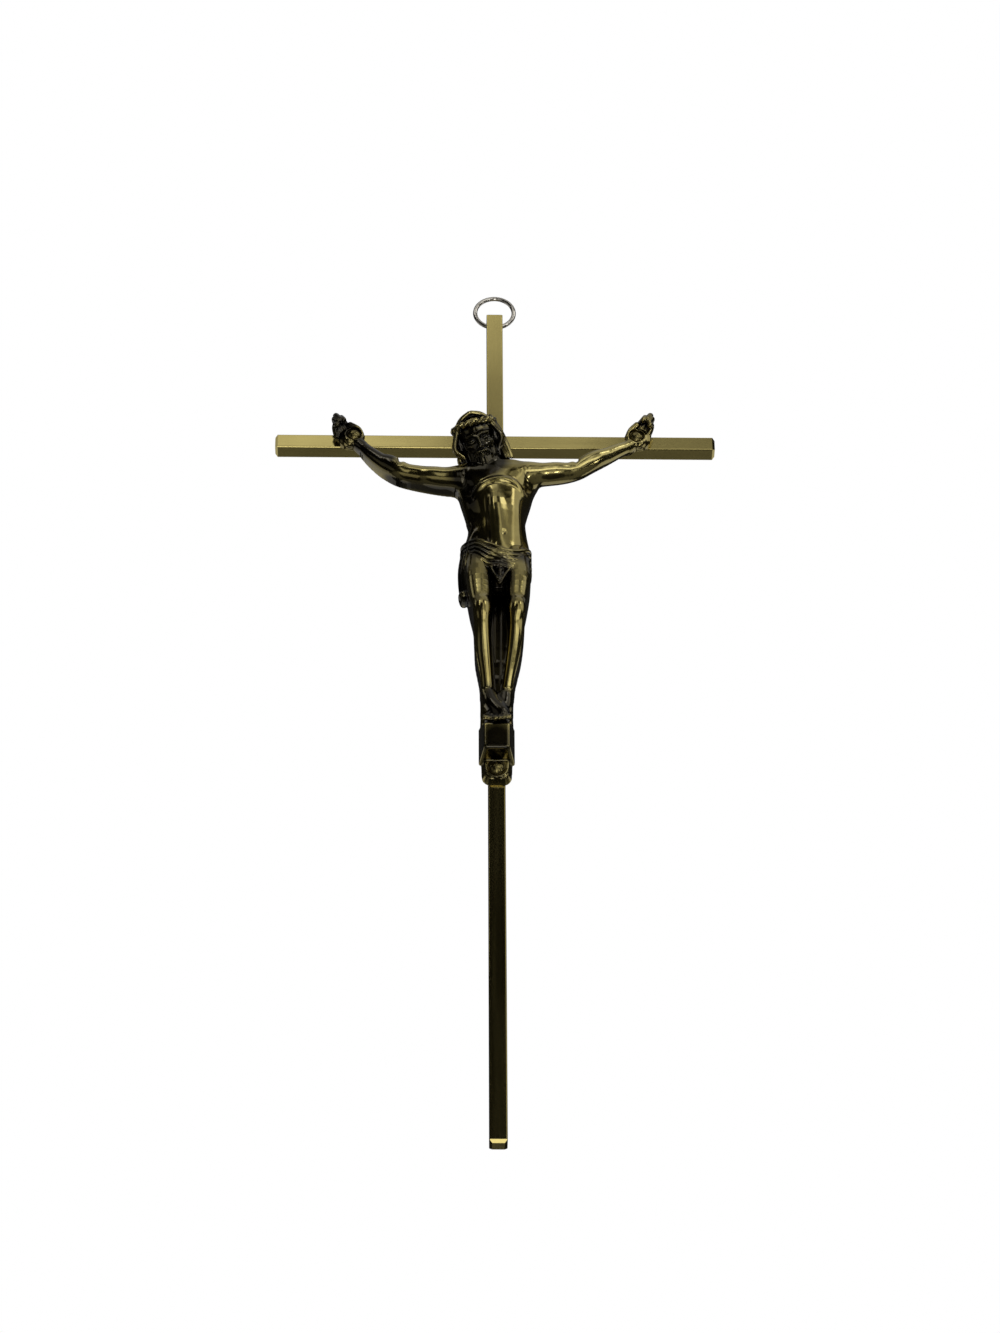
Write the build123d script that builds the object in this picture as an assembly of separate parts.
from build123d import *
import math
import os

# A hanging crucifix in millimetres. +Z runs up the upright, the front faces -Y, and the backs of both
# bars lie on Y = 0. The origin is where the centre lines of the bars cross, on that back plane.
# In the figure, depth is the distance in front of the bars, x and z are measured from the crossing.

# Bars of square stock
bar_side = 5.0
upright_above = 53.0
upright_below = 247.0
crossbar_length = 134.0
edge_round = 0.35
end_chamfer = 0.8
lap_clearance = 0.03

# Hanging ring of round wire, closed with a butt seam
ring_outer = 13.4
ring_wire = 1.35
ring_seam = 0.2
ring_hole = 2.2
ring_hole_drop = 3.6

# Nails and the rivet of the lap joint
nail_shank = 2.0
nail_clearance = 0.05
tail_diameter = 3.0
tail_depth = 0.7
palm_nail_head = 4.4
palm_nail_dome = 1.6
foot_nail_head = 4.8
foot_nail_dome = 1.7
seat_margin = 0.25

# Places of the nails on the bars
palm_nail_reach = 43.0
foot_nail_drop = 124.8

# Casting: seats, foot block, nail tab and hollow back
palm_seat = 2.6
tab_thickness = 2.5
tab_width = 6.6
tab_foot_width = 9.4
tab_overlap = 1.0
block_top = -109.0
block_front_top = -113.0
block_front_bottom = -121.2
block_bottom = -122.2
block_front_width = 7.4
block_foot_width = 10.5
block_depth = 8.0
block_corner = 0.6
hollow_wall = 3.2

# How far up its depth each slice of the casting has straight side walls
torso_wall_share = 0.4
arm_wall_share = 0.5
leg_wall_share = 0.35
cloth_wall_share = 0.4
hollow_wall_share = 0.3

# Torso slices from the shoulders down: x, z, width, depth
torso_slices = [
    (-0.3, -13.6, 12.0, 7.0),
    (0.0, -17.5, 21.0, 9.6),
    (0.0, -25.0, 21.4, 11.4),
    (0.2, -32.0, 17.0, 10.4),
    (0.3, -38.0, 15.2, 9.4),
    (0.2, -46.0, 18.0, 10.0),
    (0.4, -56.0, 19.4, 11.0),
]

# Chest muscles and belly
chest_muscle_x = 4.9
chest_muscle_z = -20.8
chest_muscle_depth = 8.4
chest_muscle_radius = 4.0
chest_muscle_half = 5.4
chest_muscle_tilt = 14.0
belly = (0.6, -35.0, 5.2)
belly_radius = 6.6
belly_half_length = 13.0

# Arm slices: share of the way from the shoulder to the palm nail, z, width, depth, width of the base
shoulder_x = 6.0
left_arm_slices = [
    (0.0, -19.0, 8.8, 9.4, 8.8),
    (0.2, -18.8, 7.2, 8.4, 7.2),
    (0.38, -17.8, 6.6, 7.8, 6.7),
    (0.54, -16.4, 6.0, 7.2, 6.2),
    (0.65, -14.6, 5.7, 6.9, 5.9),
    (0.74, -12.0, 5.4, 6.4, 5.6),
    (0.85, -7.9, 4.5, 5.2, 4.6),
    (0.935, -3.8, 4.0, 3.9, 4.0),
    (1.03, 0.5, 7.6, 3.2, 6.8),
    (1.09, 3.6, 6.8, 3.0, 6.0),
]
right_arm_slices = [
    (0.0, -18.4, 8.8, 9.2, 8.0),
    (0.2, -17.0, 7.0, 8.2, 4.4),
    (0.38, -16.0, 6.3, 7.6, 3.2),
    (0.51, -14.2, 5.9, 7.2, 3.0),
    (0.62, -11.6, 5.8, 6.9, 3.0),
    (0.74, -8.4, 5.1, 6.2, 3.2),
    (0.85, -5.4, 4.3, 5.0, 3.4),
    (0.93, -3.4, 4.0, 3.9, 3.6),
    (1.03, 0.6, 7.6, 3.2, 6.8),
    (1.08, 3.8, 6.8, 3.0, 6.0),
]

# Fingers and thumb, drawn together: root out from the palm nail, root z, tip out, tip z, depth of the tip
finger_radius = 1.0
finger_tip_radius = 0.8
finger_root_depth = 2.0
left_fingers = [
    (4.8, 1.2, 6.2, 4.6, 3.0),
    (4.4, 3.0, 5.8, 6.4, 3.6),
    (3.4, 4.4, 5.0, 7.8, 3.6),
    (2.0, 4.8, 3.6, 7.4, 3.2),
    (-1.4, 1.2, 0.8, 5.2, 3.4),
]
right_fingers = [
    (4.2, 0.8, 4.9, 4.2, 3.0),
    (4.0, 2.8, 5.0, 6.4, 3.6),
    (3.2, 4.4, 3.9, 7.6, 3.6),
    (1.8, 4.8, 1.6, 6.8, 3.2),
    (-1.6, 1.6, -0.8, 4.8, 3.2),
]

# Leg slices from the hip to the foot, and the web of metal between the legs: x, z, width, depth
knee_slice = 3
left_leg_slices = [
    (-3.8, -52.0, 9.8, 10.6),
    (-4.2, -60.0, 9.0, 12.3),
    (-4.0, -69.0, 7.8, 14.4),
    (-3.6, -75.0, 6.9, 15.5),
    (-3.4, -80.0, 6.9, 14.0),
    (-3.1, -87.0, 6.6, 11.6),
    (-2.2, -95.0, 5.0, 9.1),
    (-2.0, -101.0, 4.7, 8.0),
    (-1.3, -110.0, 6.4, 7.6),
]
right_leg_slices = [
    (5.0, -52.0, 9.8, 10.6),
    (5.4, -60.0, 9.1, 12.1),
    (5.2, -69.0, 7.8, 14.0),
    (4.9, -75.0, 7.1, 15.1),
    (4.9, -80.0, 7.0, 13.7),
    (4.3, -87.0, 6.7, 11.4),
    (3.0, -95.0, 4.9, 8.9),
    (2.4, -101.0, 4.6, 7.6),
    (1.7, -110.0, 6.4, 7.0),
]
web_slices = [
    (0.7, -56.0, 5.0, 5.0),
    (0.7, -80.0, 4.6, 5.6),
    (0.3, -104.0, 4.2, 5.2),
]

# Feet: the left one crosses over the right, and both stand on the block. Each has heel and toes: x, z, depth
left_foot = ((-1.4, -103.0, 5.4), (1.8, -110.6, 7.2))
right_foot = ((2.2, -103.0, 5.0), (-1.4, -110.6, 6.0))
heel_radius = 2.4
toe_radius = 2.0

# Loincloth: a rolled band tilted across the hips, its folds, the drape in front and the hanging end
band_tilt = 13.0
band_x = 0.4
band_z = -50.2
band_height = 7.4
band_width = 20.2
band_depth = 12.0
fold_radius = 0.9
fold_count = 4
drape_top = (1.3, -53.0, 11.0)
drape_tip = (0.9, -63.4, 12.0)
drape_top_radius = 2.8
drape_tip_radius = 1.0
tail_slices = [
    (-9.0, -47.0, 3.6, 8.6),
    (-9.8, -56.0, 3.1, 7.0),
    (-9.8, -62.0, 3.2, 6.4),
    (-9.6, -66.4, 2.4, 4.6),
]

# Head: its centre, how far it bows, leans and turns, and what it carries, measured from its centre
head_x = -5.0
head_z = -8.1
head_depth = 11.4
head_bow = 36.0
head_lean = -13.0
head_turn = -12.0
hair_front = (0.0, 0.9, 2.2)
hair_back = (0.0, 2.9, 1.6)
hair_radius = 7.0
face_centre = (0.0, -1.6, -1.8)
face_radius = 4.5
face_half_length = 6.7
beard_centre = (0.0, -2.7, -6.9)
beard_radius = 3.0
beard_half_length = 3.8
nose_centre = (0.0, -5.6, -0.4)
nose_tilt = -14.0
nose_radius = 1.0
nose_half_length = 2.2
crown_centre = (0.0, 1.1, 4.0)
crown_tilt = 12.0
crown_wire = 1.0
crown_stretch = 0.4
lock_radius = 2.1
right_lock = ((5.8, 1.1, 0.0), (7.4, 1.3, -9.6))
right_lock_tip = 1.5
left_lock = ((-5.6, 1.6, 0.6), (-5.2, 2.9, -7.4))
left_lock_tip = 1.9
neck_radius = 4.2
neck_root = (-0.5, -18.0, 5.0)
neck_top = (head_x + 1.2, head_z - 2.0, head_depth - 2.0)


def front(depth):
    """The Y of a point that stands this far in front of the bars."""
    return -bar_side - depth


def place(x, z, depth):
    """A point of the figure."""
    return Vector(x, front(depth), z)


def square_bar(length):
    """A bar of square stock along Z, with rounded long edges and chamfered ends, centred on its length."""
    block = Box(bar_side, bar_side, length)
    ends = block.faces().sort_by(Axis.Z)
    block = chamfer(ends[0].edges() + ends[-1].edges(), end_chamfer)
    return block & extrude(RectangleRounded(bar_side, bar_side, edge_round), length / 2, both=True)


def bore_through_bar(x, z, diameter):
    """A straight hole from front to back at x, z, as a cutter."""
    return Pos(x, -bar_side / 2, z) * Rot(90, 0, 0) * Cylinder(diameter / 2, 3 * bar_side)


def tail_sink(x, z):
    """The countersink in the back of a bar that takes a hammered tail, as a cutter."""
    wide = tail_diameter / 2 + nail_clearance
    narrow = nail_shank / 2 + nail_clearance
    cone = Cone(narrow, wide, tail_depth, align=(Align.CENTER, Align.CENTER, Align.MAX))
    return Pos(x, 0, z) * Rot(-90, 0, 0) * cone


def nail_cut(x, z):
    """The hole and the countersink of one nail in a bar."""
    return bore_through_bar(x, z, nail_shank + 2 * nail_clearance) + tail_sink(x, z)


def upright_bar():
    """The upright: it runs unbroken in front, and its back half is notched for the crossbar."""
    length = upright_above + upright_below
    bar = Pos(0, -bar_side / 2, (upright_above - upright_below) / 2) * square_bar(length)
    notch_height = bar_side + 2 * lap_clearance
    notch = Box(3 * bar_side, bar_side, notch_height)
    ring_bore = Pos(0, -bar_side / 2, ring_hole_z()) * Rot(0, 90, 0) * Cylinder(ring_hole / 2, 2 * bar_side)
    front_sink = Pos(0, -bar_side, 0) * Rot(180, 0, 0) * tail_sink(0, 0)
    bar -= notch
    bar -= ring_bore
    bar -= nail_cut(0, -foot_nail_drop)
    bar -= bore_through_bar(0, 0, nail_shank + 2 * nail_clearance)
    return bar - front_sink


def crossbar():
    """The crossbar: its front half is notched for the upright."""
    bar = Pos(0, -bar_side / 2, 0) * Rot(0, 90, 0) * square_bar(crossbar_length)
    notch_width = bar_side + 2 * lap_clearance
    bar -= Pos(0, -bar_side, 0) * Box(notch_width, bar_side, 3 * bar_side)
    bar -= nail_cut(0, 0)
    for side in (-1, 1):
        bar -= nail_cut(side * palm_nail_reach, 0)
    return bar


def ring_hole_z():
    """The height of the ring's hole."""
    return upright_above - ring_hole_drop


def hanging_ring():
    """The wire ring, standing up in its hole, with its seam at the bottom where the bar hides it."""
    mean = (ring_outer - ring_wire) / 2
    sagitta = mean - math.sqrt(mean**2 - (bar_side / 2) ** 2)
    seam_angle = math.degrees(ring_seam / mean)
    wire = Plane.XZ * Pos(mean, 0) * Circle(ring_wire / 2)
    loop = revolve(wire, axis=Axis.Z, revolution_arc=360 - seam_angle)
    loop = Rot(90, 0, 0) * Rot(0, 0, seam_angle / 2 - 90) * loop
    return Pos(0, -bar_side / 2, ring_hole_z() + mean - sagitta / 2) * loop


def nail(head, dome, seat):
    """A dome-headed nail along Z: its seat is seat above the bar's front, its tail flush with the back."""
    shank = nail_shank / 2
    tail = tail_diameter / 2
    top = bar_side + seat
    sphere = ((head / 2) ** 2 + dome**2) / (2 * dome)
    half_angle = math.asin(head / 2 / sphere) / 2
    crown = (sphere * math.sin(half_angle), top + dome - sphere * (1 - math.cos(half_angle)))
    outline = [
        Polyline((0, top + dome), (0, 0), (tail, 0), (shank, tail_depth), (shank, top), (head / 2, top)),
        ThreePointArc((head / 2, top), crown, (0, top + dome)),
    ]
    return revolve(Plane.XZ * make_face(outline), axis=Axis.Z)


def set_nail(x, z, head, dome, seat):
    """A nail driven in from the front at x, z."""
    return Pos(x, 0, z) * Rot(90, 0, 0) * nail(head, dome, seat)


def lap_rivet():
    """The flush rivet through the crossing, hammered into a countersink at both ends."""
    shank = nail_shank / 2
    tail = tail_diameter / 2
    far_sink = bar_side - tail_depth
    outline = Polyline(
        (0, 0), (tail, 0), (shank, tail_depth), (shank, far_sink), (tail, bar_side), (0, bar_side), close=True
    )
    return Rot(90, 0, 0) * revolve(Plane.XZ * make_face(outline), axis=Axis.Z)


def flat_slice(x, z, heading, width, depth, base, wall):
    """A D-shaped slice of the casting: a base on the back plane, side walls and an elliptical front."""
    across = Vector(-heading.Z, 0, heading.X)
    plane = Plane(origin=place(x, z, 0), x_dir=across, z_dir=heading)
    outline = [
        Line((-base / 2, 0), (base / 2, 0)),
        Line((base / 2, 0), (width / 2, wall)),
        EllipticalCenterArc((0, wall), width / 2, depth - wall, arc_size=180),
        Line((-width / 2, wall), (-base / 2, 0)),
    ]
    return plane * make_face(outline)


def arm(side, slices):
    """An arm with its palm, lofted through slices square to its line."""
    reach = palm_nail_reach - shoulder_x
    line = [Vector(side * (shoulder_x + share * reach), 0, z) for share, z, *_ in slices]
    faces = []
    for index, (_, z, width, depth, base) in enumerate(slices):
        before = line[max(index - 1, 0)]
        after = line[min(index + 1, len(line) - 1)]
        heading = (after - before).normalized()
        faces.append(flat_slice(line[index].X, z, heading, width, depth, base, arm_wall_share * depth))
    return loft(faces)


def column(slices, wall_share):
    """A torso, leg or hanging cloth, lofted through level slices."""
    down = Vector(0, 0, -1)
    faces = []
    for x, z, width, depth in slices:
        faces.append(flat_slice(x, z, down, width, depth, width, wall_share * depth))
    return loft(faces)


def taper(start, end, start_radius, end_radius):
    """A round-ended tapering rod between two points."""
    start = Vector(start)
    end = Vector(end)
    length = (end - start).length
    outline = [
        Line((0, -start_radius), (0, length + end_radius)),
        CenterArc((0, length), end_radius, start_angle=0, arc_size=90),
        Line((end_radius, length), (start_radius, 0)),
        CenterArc((0, 0), start_radius, start_angle=-90, arc_size=90),
    ]
    rod = revolve(Plane.XZ * make_face(outline), axis=Axis.Z)
    return Plane(origin=start, z_dir=end - start) * rod


def spheroid(radius, half_length):
    """An egg-shaped solid about Z."""
    outline = [
        Line((0, -half_length), (0, half_length)),
        EllipticalCenterArc((0, 0), radius, half_length, start_angle=-90, arc_size=180),
    ]
    return revolve(Plane.XZ * make_face(outline), axis=Axis.Z)


def fingers(side, rows):
    """The gathered fingers and the thumb of one hand."""
    rods = []
    for root_out, root_z, tip_out, tip_z, tip_depth in rows:
        root = place(side * (palm_nail_reach + root_out), root_z, finger_root_depth)
        tip = place(side * (palm_nail_reach + tip_out), tip_z, tip_depth)
        rods.append(taper(root, tip, finger_radius, finger_tip_radius))
    return rods


def foot(heel, toes):
    """One foot from heel to toes."""
    return taper(place(*heel), place(*toes), heel_radius, toe_radius)


def legs():
    """Both legs, bent at the knees, the web of metal between them, and the crossed feet."""
    pieces = [column(web_slices, leg_wall_share)]
    for slices in (left_leg_slices, right_leg_slices):
        pieces.append(column(slices[:knee_slice + 1], leg_wall_share))
        pieces.append(column(slices[knee_slice:], leg_wall_share))
    return pieces + [foot(*left_foot), foot(*right_foot)]


def band_plane(share):
    """The plane of the loincloth's band at a share of its height, from -0.5 at the top to 0.5 below."""
    tilt = math.radians(band_tilt)
    down = Vector(-math.sin(tilt), 0, -math.cos(tilt))
    origin = place(band_x, band_z, 0) + down * (share * band_height)
    return Plane(origin=origin, x_dir=(-down.Z, 0, down.X), z_dir=down)


def loincloth():
    """The rolled band with its folds, the drape in front and the end hanging at the hip."""
    faces = []
    wall = cloth_wall_share * band_depth
    for share in (-0.5, 0.0, 0.5):
        plane = band_plane(share)
        x, _, z = plane.origin
        faces.append(flat_slice(x, z, plane.z_dir, band_width, band_depth, band_width, wall))
    pieces = [loft(faces)]
    for index in range(fold_count):
        plane = band_plane((index + 0.5) / fold_count - 0.5)
        line = plane * EllipticalCenterArc((0, 0), band_width / 2, band_depth, arc_size=180)
        profile = Plane(origin=line @ 0, z_dir=line % 0) * Circle(fold_radius)
        pieces.append(sweep(profile, path=line))
    pieces.append(taper(place(*drape_top), place(*drape_tip), drape_top_radius, drape_tip_radius))
    pieces.append(column(tail_slices, leg_wall_share))
    return pieces


def crown_band():
    """The rolled band round the hair."""
    line = Ellipse(hair_radius, hair_radius + crown_stretch).edge()
    profile = Plane(origin=line @ 0, z_dir=line % 0) * Circle(crown_wire)
    return sweep(profile, path=line)


def head():
    """The bowed head: hair, face, beard, nose, the band round the hair and the locks on the shoulders."""
    pieces = [
        taper(hair_front, hair_back, hair_radius, hair_radius),
        Pos(face_centre) * spheroid(face_radius, face_half_length),
        Pos(beard_centre) * spheroid(beard_radius, beard_half_length),
        Pos(nose_centre) * Rot(nose_tilt, 0, 0) * spheroid(nose_radius, nose_half_length),
        taper(*right_lock, lock_radius, right_lock_tip),
        taper(*left_lock, lock_radius, left_lock_tip),
        Pos(crown_centre) * Rot(crown_tilt, 0, 0) * crown_band(),
    ]
    attitude = Rot(0, head_lean, 0) * Rot(head_bow, 0, 0) * Rot(0, 0, head_turn)
    return Pos(place(head_x, head_z, head_depth)) * attitude * joined(pieces)


def neck():
    """The neck, from between the shoulders up into the head."""
    return taper(place(*neck_root), place(*neck_top), neck_radius, neck_radius)


def tab_outline(width, depth):
    """The outline of the nail tab at one depth: square above, round below the nail."""
    half = width / 2
    plane = Plane(origin=place(0, -foot_nail_drop, depth), x_dir=(1, 0, 0), z_dir=(0, -1, 0))
    top = foot_nail_drop + block_bottom + tab_overlap
    outline = [
        Polyline((-half, 0), (-half, top), (half, top), (half, 0)),
        ThreePointArc((half, 0), (0, -half), (-half, 0)),
    ]
    return plane * make_face(outline)


def block_outline(width, top, bottom, depth):
    """The outline of the foot block at one depth."""
    plane = Plane(origin=place(0, (top + bottom) / 2, depth), x_dir=(1, 0, 0), z_dir=(0, -1, 0))
    return plane * RectangleRounded(width, top - bottom, block_corner)


def foot_block():
    """The block under the feet and the tab below it that takes the foot nail."""
    tab = loft([tab_outline(tab_foot_width, 0), tab_outline(tab_width, tab_thickness)], ruled=True)
    back = block_outline(block_foot_width, block_top, block_bottom, 0)
    front_face = block_outline(block_front_width, block_front_top, block_front_bottom, block_depth)
    return [tab, loft([back, front_face], ruled=True)]


def torso():
    """The trunk from the shoulders to the hips, with the chest muscles and the belly."""
    pieces = [column(torso_slices, torso_wall_share)]
    for side in (-1, 1):
        muscle = Rot(0, 90 + side * chest_muscle_tilt, 0) * spheroid(chest_muscle_radius, chest_muscle_half)
        pieces.append(Pos(place(side * chest_muscle_x, chest_muscle_z, chest_muscle_depth)) * muscle)
    pieces.append(Pos(place(*belly)) * spheroid(belly_radius, belly_half_length))
    return pieces


def hollow():
    """The hollow in the back of the torso, as a cutter."""
    slices = []
    for x, z, width, depth in torso_slices[2:]:
        slices.append((x, z, width - 2 * hollow_wall, depth - hollow_wall))
    return column(slices, hollow_wall_share)


def joined(pieces):
    """The pieces fused one after another, in order."""
    whole = pieces[0]
    for piece in pieces[1:]:
        whole = whole + piece
    return whole


def corpus():
    """The casting: everything fused, cut flat at the back, hollowed and drilled for its nails."""
    limbs = [arm(-1, left_arm_slices), arm(1, right_arm_slices), *legs(), *foot_block(), *loincloth(), neck()]
    limbs += fingers(-1, left_fingers) + fingers(1, right_fingers)
    figure = joined([*torso(), *limbs, head()])
    reach = upright_above + upright_below
    behind = Pos(0, front(0) + reach / 2, 0) * Box(reach, reach, 2 * reach)
    figure -= behind
    figure -= hollow()
    places = [
        (-palm_nail_reach, 0, palm_nail_head, palm_seat),
        (palm_nail_reach, 0, palm_nail_head, palm_seat),
        (0, -foot_nail_drop, foot_nail_head, tab_thickness),
    ]
    for x, z, head_size, seat in places:
        figure -= bore_through_bar(x, z, nail_shank + 2 * nail_clearance)
        room = Cylinder(head_size / 2 + seat_margin, reach, align=(Align.CENTER, Align.CENTER, Align.MIN))
        figure -= Pos(place(x, z, seat)) * Rot(90, 0, 0) * room
    return figure


def main():
    os.makedirs("parts", exist_ok=True)
    palm = (palm_nail_head, palm_nail_dome, palm_seat)
    nodes = {
        "upright_bar": upright_bar(),
        "crossbar": crossbar(),
        "lap_rivet": lap_rivet(),
        "corpus": corpus(),
        "left_palm_nail": set_nail(-palm_nail_reach, 0, *palm),
        "right_palm_nail": set_nail(palm_nail_reach, 0, *palm),
        "foot_nail": set_nail(0, -foot_nail_drop, foot_nail_head, foot_nail_dome, tab_thickness),
        "hanging_ring": hanging_ring(),
    }
    for name, shape in nodes.items():
        export_step(shape, f"parts/{name}.step")


main()
